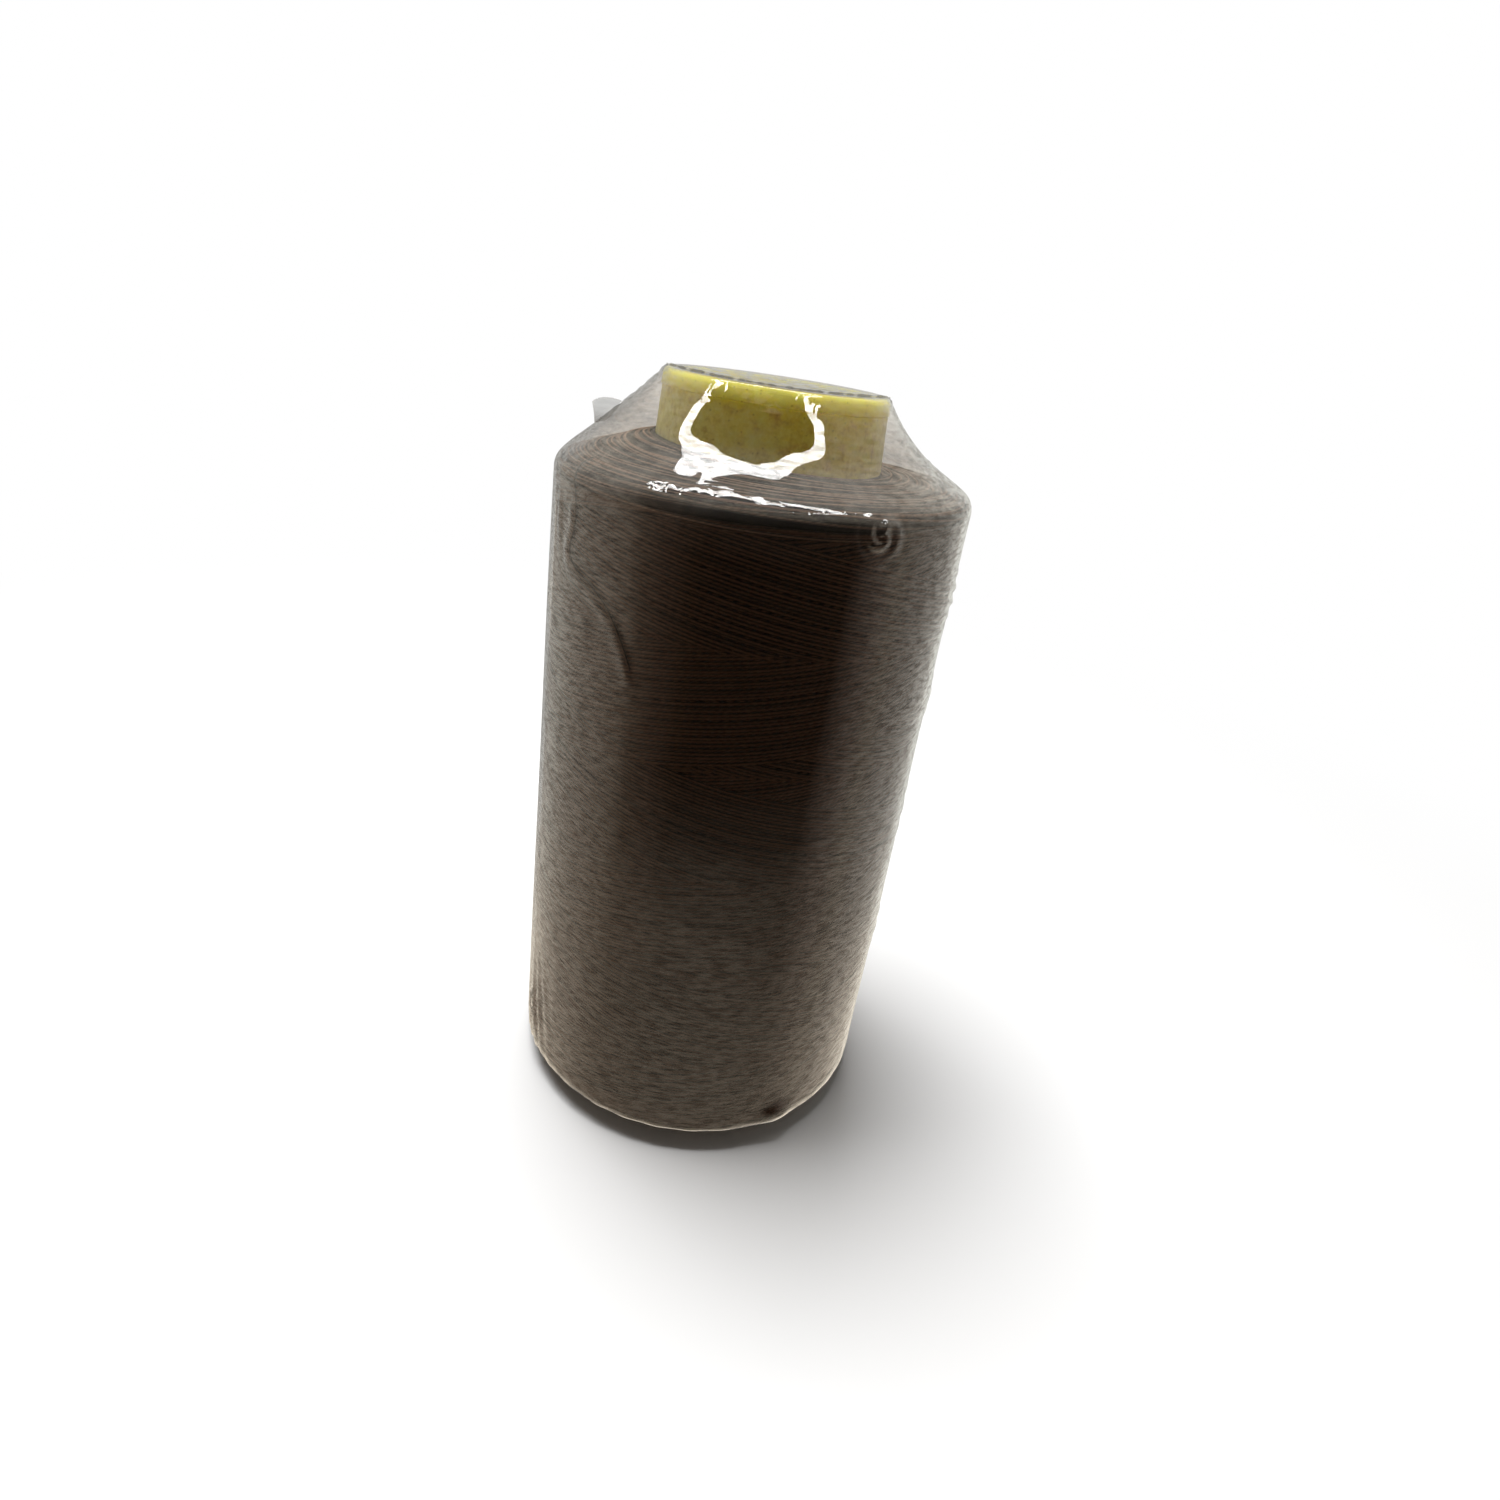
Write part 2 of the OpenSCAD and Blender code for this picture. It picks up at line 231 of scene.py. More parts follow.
# ---------------------------------------------------------------- the winding's profile
def winding_profile():
    """Outer profile of the winding as (s, r, z, normal r, normal z), from the tube down to the foot.

    It is a straight slope, an arc, a straight side, a small arc and a flat base, sampled closely.
    """
    junction_z = MOUTH_Z - TUBE_SHOW
    slope_z = junction_z - (TOP_R - tube_r(junction_z)) * np.tan(SHOULDER_SLOPE)
    edge = np.array([TOP_R - SHOULDER_ROUND,
                     slope_z - SHOULDER_ROUND * np.tan((np.pi / 2 - SHOULDER_SLOPE) / 2)])
    foot = np.array([BASE_R - BASE_ROUND, BASE_Z + BASE_ROUND])
    shoulder = arc(edge, SHOULDER_ROUND, np.pi / 2 - SHOULDER_SLOPE, 0, 40)
    uphill = (shoulder[0][0] - tube_r(junction_z)) * np.array([-1, np.tan(SHOULDER_SLOPE)])
    slope = shoulder[0] + np.linspace(1, 0, 40)[:-1, None] * uphill
    base = arc(foot, BASE_ROUND, 0, -np.pi / 2, 24)
    side = shoulder[-1] + np.linspace(0, 1, 200)[1:-1, None] * (base[0] - shoulder[-1])
    flat = base[-1] + np.linspace(0, 1, 30)[1:, None] * np.array([tube_r(BASE_Z) - base[-1][0], 0])
    line = np.concatenate([slope, shoulder, side, base, flat])
    step = np.gradient(line, axis=0)
    step /= np.linalg.norm(step, axis=1)[:, None]
    length = np.concatenate([[0], np.cumsum(np.linalg.norm(np.diff(line, axis=0), axis=1))])
    s = length - length[len(slope)]
    return s, line[:, 0], line[:, 1], -step[:, 1], step[:, 0]


PROFILE = winding_profile()
S_TUBE = PROFILE[0][0]
S_FOOT = PROFILE[0][-1]


def s_of_z(z):
    """Distance down the profile at height z on the side."""
    side = (PROFILE[0] >= 0) & (PROFILE[2] > BASE_Z + 0.01 * MM)
    return np.interp(-np.asarray(z), -PROFILE[2][side], PROFILE[0][side])


S_BASE_EDGE = s_of_z(BASE_Z + BASE_ROUND)


def skin(angle, s, out):
    """Points on the winding at an angle, distance s down its profile and out from it, with normals.

    The shoulder isn't quite level: its outer edge is higher at +X, and its inner edge higher at -X.
    """
    r, z, nr, nz = (np.interp(s, PROFILE[0], column) for column in PROFILE[1:])
    size = np.hypot(nr, nz)
    nr, nz = nr / size, nz / size
    tilt = EDGE_TILT - TILT_CHANGE * way(-s, 0, TILT_SLOPE)
    z = z + np.cos(angle) * tilt * (1 - smooth(way(s, *TILT_ENDS)))
    r, z = r + out * nr, z + out * nz
    points = np.broadcast_arrays(r * np.cos(angle), r * np.sin(angle), z)
    normals = np.broadcast_arrays(nr * np.cos(angle), nr * np.sin(angle), nz)
    return np.stack(points, -1), np.stack(normals, -1)


# ---------------------------------------------------------------- meshes
def mesh_piece(name, points, faces, slot, material, uv=None, shade=None, node=None):
    """Makes a smooth mesh object, which rides on the root body when a slot is given. uv and shade are per
    point.

    Where a face crosses the line at which v starts again from 0, its low corners get v + 1.
    """
    mesh = bpy.data.meshes.new(name)
    mesh.from_pydata(points.tolist(), [], faces.tolist() if isinstance(faces, np.ndarray) else faces)
    mesh.polygons.foreach_set("use_smooth", np.ones(len(mesh.polygons), bool))
    if uv is not None:
        corner = np.empty(len(mesh.loops), np.int32)
        mesh.loops.foreach_get("vertex_index", corner)
        sizes = np.empty(len(mesh.polygons), np.int32)
        mesh.polygons.foreach_get("loop_total", sizes)
        face = np.repeat(np.arange(len(sizes)), sizes)
        placed = uv[corner]
        highest = np.full(len(sizes), -1.0)
        np.maximum.at(highest, face, placed[:, 1])
        placed[:, 1] += highest[face] - placed[:, 1] > 0.5
        layer = mesh.uv_layers.new(name="along_round")
        layer.data.foreach_set("uv", placed.astype(np.float32).ravel())
    if shade is not None:
        attribute = mesh.attributes.new("strand", "FLOAT", "POINT")
        attribute.data.foreach_set("value", shade.astype(np.float32))
    mesh.materials.append(material)
    mesh.validate()
    mesh.update()
    piece = bpy.data.objects.new(name, mesh)
    bpy.context.scene.collection.objects.link(piece)
    if slot:
        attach(piece, "root")
    if node:
        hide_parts(node)
    return piece


def give_wall(piece, thickness, offset):
    """Gives a sheet its wall, outside it where offset is 1, and half on each side where it is 0."""
    wall = piece.modifiers.new("wall", "SOLIDIFY")
    wall.thickness = thickness
    wall.offset = offset


def grid_faces(rows, columns, wrap_rows=False, wrap_columns=False):
    """Quads of a grid of points in row order, joined up across its edges where it wraps."""
    i = np.arange(rows if wrap_rows else rows - 1)[:, None]
    j = np.arange(columns if wrap_columns else columns - 1)[None, :]
    below, beside = (i + 1) % rows, (j + 1) % columns
    quads = [i * columns + j, i * columns + beside, below * columns + beside, below * columns + j]
    return np.stack(np.broadcast_arrays(*quads), -1).reshape(-1, 4)


def tube(points, normals, radius, sides):
    """A closed tube along a path: circles square to it, their first point along the normal, and flat ends.

    Returns its points, faces and uv, where u is the length along it in metres and v goes once round it.
    """
    along = np.gradient(points, axis=0)
    along /= np.linalg.norm(along, axis=1)[:, None]
    up = normals - (normals * along).sum(1)[:, None] * along
    up /= np.linalg.norm(up, axis=1)[:, None]
    across = np.cross(along, up)
    share = np.arange(sides) / sides
    turn = share * TURN
    ring = np.cos(turn)[None, :, None] * up[:, None] + np.sin(turn)[None, :, None] * across[:, None]
    radius = np.broadcast_to(radius, len(points))
    body = (points[:, None] + radius[:, None, None] * ring).reshape(-1, 3)
    length = np.concatenate([[0], np.cumsum(np.linalg.norm(np.diff(points, axis=0), axis=1))])
    uv = np.stack(np.broadcast_arrays(length[:, None], share[None, :]), -1).reshape(-1, 2)
    faces = grid_faces(len(points), sides, wrap_columns=True)[:, ::-1].tolist()
    last = (len(points) - 1) * sides
    faces.append(list(range(sides)))
    faces.append([last + k for k in reversed(range(sides))])
    return body, faces, uv


# ---------------------------------------------------------------- materials
class Nodes:
    """A node tree to build on. What goes into a node is a number, a vector, a colour as (r, g, b), a
    socket, or a node, whose first output is taken."""

    def __init__(self, tree):
        tree.nodes.clear()
        self.tree = tree

    def put(self, value, socket):
        """Links a node or socket to an input, or sets the input to a value."""
        if isinstance(value, bpy.types.Node):
            value = value.outputs[0]
        if isinstance(value, bpy.types.NodeSocket):
            self.tree.links.new(value, socket)
        else:
            socket.default_value = (*value, 1) if socket.type == "RGBA" else value

    def make(self, kind, **values):
        """A node. Each keyword is an input's name, with _ for a space, or else a setting's."""
        made = self.tree.nodes.new("ShaderNode" + kind)
        for key, value in values.items():
            name = key.replace("_", " ")
            if name in made.inputs:
                self.put(value, made.inputs[name])
            else:
                setattr(made, key, value)
        return made

    def math(self, operation, *values):
        """A Math node's result."""
        made = self.make("Math", operation=operation)
        for value, socket in zip(values, made.inputs):
            self.put(value, socket)
        return made.outputs[0]

    def plus(self, a, b):
        """a + b"""
        return self.math("ADD", a, b)

    def times(self, a, b):
        """a times b"""
        return self.math("MULTIPLY", a, b)

    def span(self, value, low, high, to_low=0.0, to_high=1.0, **settings):
        """A value brought from the range low to high onto the range to_low to to_high."""
        return self.make("MapRange", Value=value, From_Min=low, From_Max=high, To_Min=to_low,
                         To_Max=to_high, **settings)

    def ramp(self, value, stops):
        """A colour ramp over a value, with stops as (position, colour) or (position, level of grey)."""
        made = self.make("ValToRGB")
        elements = made.color_ramp.elements
        while len(elements) < len(stops):
            elements.new(0.5)
        for element, (position, colour) in zip(elements, stops):
            element.position = position
            element.color = (*colour, 1) if isinstance(colour, tuple) else (colour, colour, colour, 1)
        self.put(value, made.inputs[0])
        return made.outputs[0]

    def mix(self, factor, a, b, blend_type="MIX"):
        """Two colours mixed."""
        made = self.make("Mix", data_type="RGBA", blend_type=blend_type, Factor=factor)
        self.put(a, made.inputs[6])
        self.put(b, made.inputs[7])
        return made.outputs[2]

    def mix_shaders(self, factor, a, b):
        """Two shaders mixed."""
        made = self.make("MixShader")
        for value, socket in zip((factor, a, b), made.inputs):
            self.put(value, socket)
        return made

    def where(self):
        """Object coordinates."""
        return self.make("TexCoord").outputs["Object"]

    def parts(self, vector):
        """A vector's X, Y and Z."""
        return self.make("SeparateXYZ", Vector=vector).outputs

    def show(self, surface, kind="OutputMaterial"):
        """Puts the finished shader out."""
        self.put(surface, self.make(kind).inputs[0])


def new_material(name):
    """An empty material, and its nodes."""
    material = bpy.data.materials.new(name)
    material.use_nodes = True
    return material, Nodes(material.node_tree)


def thread_material(name, light, dark):
    """Matt twisted thread: plies that wind along it, hairs, and a shade that changes from strand to strand.

    Its tone is a sum of shares, times the fourth power of a cosine round the thread, so that it is
    lightest along its crown: painted shade that darkens the flanks and the gaps between threads. The
    plies' share paints highlights along the twist, and the strand shade holds painted shadow lines
    as well as tone drawn by chance.
    """
    material, nodes = new_material(name)
    u, v, _ = nodes.parts(nodes.make("UVMap", uv_map="along_round"))
    plies = nodes.math("SINE", nodes.plus(nodes.times(u, TURN / PLY_TWIST), nodes.times(v, TURN * 2)))
    strand = nodes.make("Attribute", attribute_name="strand").outputs["Fac"]
    where = nodes.where()
    cloud = nodes.make("TexNoise", Vector=where, Scale=60.0, Detail=3.0)
    hairs = nodes.make("TexNoise", Vector=where, Scale=2600.0, Detail=2.0)
    tone = 0.5
    # The plies' share of the tone paints highlights along the twist.
    for part, share in ((strand, 0.24), (plies, 0.12), (cloud, 0.4), (hairs, 0.4)):
        tone = nodes.plus(tone, nodes.times(part, share))
    # Painted shade: the thread goes dark towards its flanks, where its neighbours shade it.
    crown = nodes.math("MAXIMUM", nodes.math("COSINE", nodes.times(v, TURN)), 0.0)
    tone = nodes.times(tone, nodes.math("POWER", crown, 4.0))
    bump = nodes.make("Bump", Strength=0.7, Distance=0.06 * MM, Height=nodes.plus(plies, hairs))
    nodes.show(nodes.make("BsdfPrincipled", Base_Color=nodes.ramp(tone, [(0.0, dark), (1.0, light)]),
                          Roughness=0.6, Normal=bump))
    return material


def tube_material():
    """Moulded yellow plastic: a band round the rim painted brighter, for the light that comes in at the
    mouth and through the thin wall, and a duller cone with specks below it.
    """
    material, nodes = new_material("yellow_plastic")
    where = nodes.where()
    patches = nodes.make("TexNoise", Vector=where, Scale=480.0, Detail=5.0, Roughness=0.6)
    cloud = nodes.make("TexNoise", Vector=where, Scale=620.0, Detail=5.0, Roughness=0.7)
    wavy_height = nodes.plus(nodes.parts(where)["Z"], nodes.times(patches, 6.0 * MM))
    # Painted light: the band round the rim is brighter and more orange than the cone, for light that shines
    # into the mouth and through the wall.
    band = nodes.span(wavy_height, MOUTH_Z - 0.4 * MM, MOUTH_Z + 1.6 * MM, interpolation_type="SMOOTHSTEP")
    dull = nodes.ramp(cloud, [(0.32, (0.62, 0.48, 0.09)), (0.5, (0.93, 0.78, 0.19)),
                              (0.68, (1.0, 0.91, 0.33))])
    bright = nodes.ramp(patches, [(0.35, (1.0, 0.75, 0.05)), (0.65, (1.0, 0.85, 0.10))])
    specks = nodes.make("TexVoronoi", Vector=where, Scale=900.0, feature="F1")
    specks = nodes.span(specks, 0.06, 0.16, 0.55, 1.0)
    colour = nodes.mix(1.0, nodes.mix(band, dull, bright), specks, "MULTIPLY")
    bump = nodes.make("Bump", Strength=0.35, Distance=0.08 * MM, Height=cloud)
    nodes.show(nodes.make("BsdfPrincipled", Base_Color=colour, Roughness=0.38, Subsurface_Weight=1.0,
                          Subsurface_Radius=(7 * MM, 6 * MM, 1.8 * MM), Subsurface_Scale=1.0, Normal=bump))
    return material


def film_material(name, clear, haze, haze_colour=(0.62, 0.61, 0.58), roughness=0.0):
    """Clear shrink film: gloss over clear by the angle of view, a little milky haze, and fine creases.

    The gloss follows Schlick's formula, F0 + (1 - F0) f^5, where f is Layer Weight's Facing, which is
    the same for both faces of the thin wall. It is a little uneven in level streaks, where the film
    touches the threads.
    """
    material, nodes = new_material(name)
    where = nodes.where()
    height = nodes.math("DIVIDE", nodes.parts(where)["Z"], MOUTH_Z)
    crinkled, slack, thin = (nodes.ramp(height, stops) for stops in (FILM_CRINKLES, FILM_SLACK, FILM_CLEAR))

    waves = nodes.make("TexNoise", Vector=where, Scale=70.0, Detail=1.5, Distortion=0.3)
    fine = nodes.make("TexNoise", Vector=where, Scale=540.0, Detail=0.0)
    creases = nodes.make("TexVoronoi", Vector=where, Scale=420.0, feature="DISTANCE_TO_EDGE")
    crinkles = nodes.times(nodes.plus(fine, nodes.math("MINIMUM", creases, 0.12)), crinkled)
    bump = nodes.make("Bump", Strength=0.5, Distance=0.25 * MM, Height=nodes.plus(waves, crinkles))

    facing = nodes.make("LayerWeight", Blend=0.5, Normal=bump).outputs["Facing"]
    gleam = nodes.times(nodes.math("POWER", facing, 5.0), 1 - GLOSS_HEAD_ON)
    streaks = nodes.make("TexNoise", Vector=nodes.make("Mapping", Vector=where, Scale=(1, 1, 4.5)),
                         Scale=480.0, Detail=2.0)
    gleam = nodes.times(nodes.plus(gleam, GLOSS_HEAD_ON), nodes.span(streaks, 0.35, 0.65, 0.55, 1.45))

    cloud = nodes.make("TexNoise", Vector=where, Scale=180.0, Detail=4.0)
    milky = nodes.times(nodes.span(cloud, 0.3, 0.7, haze * 0.6, haze * 1.4), slack)
    see = nodes.make("BsdfTransparent", Color=nodes.mix(1.0, thin, clear, "MULTIPLY"))
    milk = nodes.make("BsdfDiffuse", Color=haze_colour)
    gloss = nodes.make("BsdfGlossy", Roughness=roughness, Normal=bump)
    nodes.show(nodes.mix_shaders(gleam, nodes.mix_shaders(milky, see, milk), gloss))
    return material


THREAD_TAUPE = thread_material("taupe_thread", light=(0.195, 0.104, 0.062), dark=(0.004, 0.002, 0.001))
# The shoulder's thread is a lighter copy of the side's: painted light, for the light that falls on the
# shoulder from above.
LIT_SHOULDER_TAUPE = thread_material("shoulder_thread", light=(0.29, 0.18, 0.122), dark=(0.003, 0.002, 0.001))
# The thread under the surface turns is painted nearly black, as the shade in the gaps between them.
UNDER_SHADE_TAUPE = thread_material("inner_thread_painted_shade", light=(0.016, 0.010, 0.007), dark=(0.006, 0.004, 0.002))
YELLOW_PLASTIC = tube_material()
FILM = film_material("shrink_film_clear", clear=(1.0, 0.99, 0.975), haze=0.11)
SEAM_FILM = film_material("melted_film", clear=(0.82, 0.82, 0.81), haze=0.25, haze_colour=(0.4, 0.4, 0.38),
                          roughness=0.12)
EAR_FILM = film_material("ear_film", clear=(0.98, 0.98, 0.97), haze=0.6, haze_colour=(0.85, 0.84, 0.82))


# ---------------------------------------------------------------- the thread
def saw(x):
    """A sawtooth that rises from 0 to 1 over each unit, with its drop spread over the last SINK_SHARE."""
    x = np.mod(x, 1)
    return np.where(x < 1 - SINK_SHARE, x / (1 - SINK_SHARE), 1 - smooth((x - 1 + SINK_SHARE) / SINK_SHARE))


def winding_path(first, last):
    """The thread of the cycles from first to last, at a steady count of rings a turn.

    Its distance down the winding is a triangle wave of the angle, rounded by a parabola where it turns
    back. A cycle takes six turns and one thread's width more, so that each stroke lies beside the one of
    the cycle before. Where the two directions cross, the thread laid last lies on top, which makes its
    height a falling share of the laying order and a sawtooth of the distance from the lines where the
    order changes. Each stroke strays to one side and sways by a sine. Its shade is its own, drawn by
    chance, less for a dark stroke, plus one that two cycles share. A dark stroke is painted shadow, for
    the shadow lines at the edges of layers.
    """
    period = TURNS_PER_CYCLE + 1 / CYCLES
    half = period / 2
    turns = np.arange(first * period, last * period, 1 / RINGS_PER_TURN)
    cycle = np.floor(turns / period)
    phase = turns - cycle * period
    down = phase < half
    stroke = (2 * cycle + ~down).astype(int)
    top_s = s_of_z(VIRTUAL_TOP_Z)
    low_s = S_BASE_EDGE + BASE_Z + BASE_ROUND - VIRTUAL_LOW_Z
    slope = (low_s - top_s) / half
    from_top = np.minimum(phase, period - phase)
    from_low = np.abs(phase - half)
    s = top_s + slope * from_top
    for gap, width, sign in ((from_top, TOP_TURNROUND, 1), (from_low, LOW_TURNROUND, -1)):
        near = gap < width / 2
        s = np.where(near, s + sign * slope * (gap ** 2 / width + width / 4 - gap), s)
    age = (CYCLES - 1 - cycle) / CYCLES
    order_z = VIRTUAL_TOP_Z - slope * 0.5
    y = (s - s_of_z(order_z)) / slope
    height = 2 - 2 * age - saw(np.where(down, -2 * y, 2 * y))
    out = -THREAD_D / 2 - LAYER_STEP * (2 - height)
    angle = (NEWEST_START - (CYCLES - 1) / CYCLES + turns) * TURN
    side, start, sway = rng.uniform(-1, 1, (3, CYCLES * 2))[:, stroke]
    s = s + STRAY_SIDE * side + STRAY_SWAY * np.sin(turns * TURN * STROKE_SWAYS_PER_TURN + 9 * start) * sway
    # Painted shade: a dark stroke stands for a shadow line at a layer's edge.
    shades = rng.random(CYCLES * 2) - DARK_STROKE * (rng.random(CYCLES * 2) < DARK_STROKES)
    shades += np.repeat(rng.uniform(-CYCLES_SHADE, CYCLES_SHADE, CYCLES // 2), 4)
    return angle, s, out, shades[stroke]


def end_arcs(start_s, end_s, turns, sway, lift, sway_start):
    """Arcs that the thread leaves where it turns back: a spiral whose loops sway and so cross each other.

    Its shade runs in straight lines between knots of chance, some of which are dark: painted shade for
    the gaps between the loops.
    """
    t = np.arange(0, turns, 1 / ARC_RINGS_PER_TURN)
    sway_wave = ARC_SWAYS_PER_TURN * TURN * t + sway_start
    s = start_s + (end_s - start_s) * t / turns + sway * np.cos(sway_wave)
    s = np.clip(s, min(start_s, end_s) - sway, max(start_s, end_s) + sway)
    out = -THREAD_D * 0.5 - lift * (0.5 + 0.5 * np.sin(sway_wave))
    count = KNOTS_PER_TURN * turns + 2
    # Painted shade: dark knots stand for the shadowed gaps between loops.
    knots = rng.random(count) - DARK_KNOT * (rng.random(count) < DARK_KNOTS)
    return t * TURN, s, out, np.interp(KNOTS_PER_TURN * t, np.arange(count), knots)


def wind(name, path, sides, node=None, material=THREAD_TAUPE, diameter=THREAD_D):
    """A tube of thread along (angle, s, out, shade) arrays."""
    angle, s, out, shade = path
    points, normals = skin(angle, s, out)
    body, faces, uv = tube(points, normals, diameter / 2, sides)
    mesh_piece(name, body, faces, "thread", material, uv, np.repeat(shade, sides), node)


def winding_body():
    """The mass of thread under the surface turns: the winding's profile, drawn in, turned round the axis.

    Its first ring and one more ring under the last lie on the tube's cone, and close it there.
    """
    columns = 160
    s = np.concatenate([np.linspace(S_TUBE, 5 * MM, 24), np.linspace(6 * MM, S_FOOT - 12 * MM, 40),
                        np.linspace(S_FOOT - 11 * MM, S_FOOT, 24)])
    angle = np.linspace(0, TURN, columns, endpoint=False)
    on_side = smooth((s - 1 * MM) / (4 * MM)) * smooth((S_FOOT - 10 * MM - s) / (4 * MM))
    sink = 0.62 * MM + 0.35 * MM * on_side
    points = skin(angle[None, :], s[:, None], -sink[:, None])[0]
    ends = [np.stack([tube_r(z) * np.cos(angle), tube_r(z) * np.sin(angle), z], -1)
            for z in (points[0, :, 2], points[-1, :, 2])]
    points[0] = ends[0]
    points = np.concatenate([points, ends[1][None] + np.array([0, 0, 0.1 * MM])])
    rows = len(points)
    faces = grid_faces(rows, columns, wrap_rows=True, wrap_columns=True)[:, ::-1]
    uv = np.stack(np.broadcast_arrays((np.arange(rows) * 1.0 * MM)[:, None], (angle / TURN)[None, :]), -1)
    # Painted shade: the mass under the turns is nearly black, for the shade between the threads over it.
    mesh_piece("winding_body", points.reshape(-1, 3), faces, "thread", UNDER_SHADE_TAUPE, uv.reshape(-1, 2),
               np.full(rows * columns, PLAIN_SHADE), "winding_core")


def loose_end():
    """The last end of the thread, lying on the winding: a Catmull-Rom curve through its route."""
    knots = np.array(END_ROUTE, float)
    knots = np.concatenate([knots[:1], knots, knots[-1:]])
    t = np.linspace(0, len(END_ROUTE) - 1, 400)
    i = np.minimum(t.astype(int), len(END_ROUTE) - 2)
    f = (t - i)[:, None]
    a, b, c, d = (knots[i + k] for k in range(4))
    route = 0.5 * (2 * b + (c - a) * f + (2 * a - 5 * b + 4 * c - d) * f ** 2
                   + (3 * b - a - 3 * c + d) * f ** 3)
    sink = -0.12 * MM - 0.3 * MM * smooth(t - len(END_ROUTE) + 2)
    # The loose end is painted dark, for the shadow along it.
    wind("loose_thread", (np.radians(route[:, 0]), route[:, 1] * MM, sink, np.full(len(t), LOOSE_END_SHADOW_SHADE)), 8,
         "loose_end", diameter=LOOSE_THREAD_D)


def transfer_tail():
    """The first end of the thread: a helix of two turns round the bare foot."""
    turns = np.linspace(0, TAIL_TURNS, TAIL_TURNS * RINGS_PER_TURN)
    angle = TAIL_START + turns * TURN
    z = TAIL_TOP_Z - TAIL_PITCH * turns
    r = tube_r(z) + THREAD_D / 2 + TAIL_GAP
    outward = np.stack([np.cos(angle), np.sin(angle), 0 * angle], -1)
    body, faces, uv = tube(outward * r[:, None] + z[:, None] * [0, 0, 1], outward, THREAD_D / 2, 8)
    mesh_piece("tail_thread", body, faces, "thread", THREAD_TAUPE, uv, np.full(len(body), PLAIN_SHADE),
               "transfer_tail")


def make_thread():
    """The winding, its ends, the transfer tail and the loose end."""
    winding_body()
    wind("older_turns", winding_path(0, CYCLES // 2), 6, "outer_turns")
    wind("newer_turns", winding_path(CYCLES // 2, CYCLES), 6)
    wind("shoulder_turns", end_arcs(4.6 * MM, S_TUBE + 1.0 * MM, 20, 1.4 * MM, 0.5 * MM, 0.0), 6,
         material=LIT_SHOULDER_TAUPE, diameter=SHOULDER_THREAD_D)
    wind("shoulder_turns_over", end_arcs(S_TUBE + 1.2 * MM, 4.2 * MM, 13, 1.3 * MM, 0.3 * MM, 2.0), 6,
         material=LIT_SHOULDER_TAUPE, diameter=SHOULDER_THREAD_D)
    wind("base_turns", end_arcs(S_FOOT - 8.2 * MM, S_FOOT - 1.0 * MM, 22, 0.7 * MM, 0.3 * MM, 1.0), 6)
    loose_end()
    transfer_tail()


make_thread()


# ---------------------------------------------------------------- the tube
tube_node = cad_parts["core_tube"]
tube_node.data.materials.clear()
tube_node.data.materials.append(YELLOW_PLASTIC)


# ---------------------------------------------------------------- the film
S_LAND = SHOULDER_ROUND * (np.pi / 2 - SHOULDER_SLOPE - FILM_LEAVE)


def blend(angle, front, right, left):
    """A size of the film's line, blended round the axis from its values at the front, right and left."""
    on_right = np.maximum(np.cos(angle), 0) ** 2
    on_left = np.maximum(-np.cos(angle), 0) ** 2
    return (1 - on_right - on_left) * front + on_right * right + on_left * left


def film_tent(angle, t):
    """The lifted film between the shoulder, at t = 0, and the rim, at t = 1, as (r, z).

    It is a cubic Bezier curve. It leaves the shoulder at one slope and reaches the rim at another, which
    changes round the axis.
    """
    land = skin(angle, S_LAND, FILM_GAP)[0]
    p0 = np.stack([np.hypot(land[..., 0], land[..., 1]), land[..., 2]])
    leave_pull = blend(angle, *LEAVE_PULL) * MM
    p1 = p0 + leave_pull * np.array([-np.sin(FILM_LEAVE), np.cos(FILM_LEAVE)])[:, None, None]
    p3 = np.stack([LIP_R + LIP_HOLD * np.cos(LIP_REACH) + 0 * angle,
                   LIP_Z + LIP_HOLD * np.sin(LIP_REACH) + 0 * angle])
    reach, reach_pull = np.radians(blend(angle, *FILM_REACH)), blend(angle, *REACH_PULL) * MM
    p2 = p3 + reach_pull * np.stack([np.sin(reach), -np.cos(reach)])
    return (1 - t) ** 3 * p0 + 3 * t * (1 - t) ** 2 * p1 + 3 * t * t * (1 - t) * p2 + t ** 3 * p3


def film_surface(angle, row):
    """Film points at an angle, for rows that run from the mouth's middle, 0, to the underside's, 4.

    They follow a dish and an arc over the lip, the lifted film, the winding's profile, and a slope to the
    flat middle of the underside.
    """
    q = way(row, 0, LIP_ROW)
    over = np.pi / 2 + (LIP_REACH - np.pi / 2) * way(row, LIP_ROW, 1)
    r = LIP_R * q + LIP_HOLD * np.cos(over)
    z = LIP_Z + LIP_HOLD * np.sin(over) - MOUTH_DISH * (1 - q ** 2)
    tent = film_tent(angle, way(-row, -2, -1))
    on_tent = (row > 1) & (row <= 2)
    r, z = np.where(on_tent, tent[0], r), np.where(on_tent, tent[1], z)
    low_s = S_BASE_EDGE + 1.6 * MM
    u = way(row, 2, 3)
    s = S_LAND + (low_s - S_LAND) * (0.35 * u + 0.65 * u ** 2 * (1.5 - 0.5 * u))
    side = skin(angle, s, FILM_GAP)[0]
    on_side = row > 2
    r, z = np.where(on_side, np.hypot(side[..., 0], side[..., 1]), r), np.where(on_side, side[..., 2], z)
    v = way(row, 3, FOOT_ROW)
    under = row > 3
    r = np.where(under, (r + (FOOT_R + FILM_GAP - r) * v) * (1 - way(row, FOOT_ROW, 4)), r)
    z = np.where(under, z + (FILM_WALL - z) * v, z)
    return np.stack([r * np.cos(angle), r * np.sin(angle), z], -1)


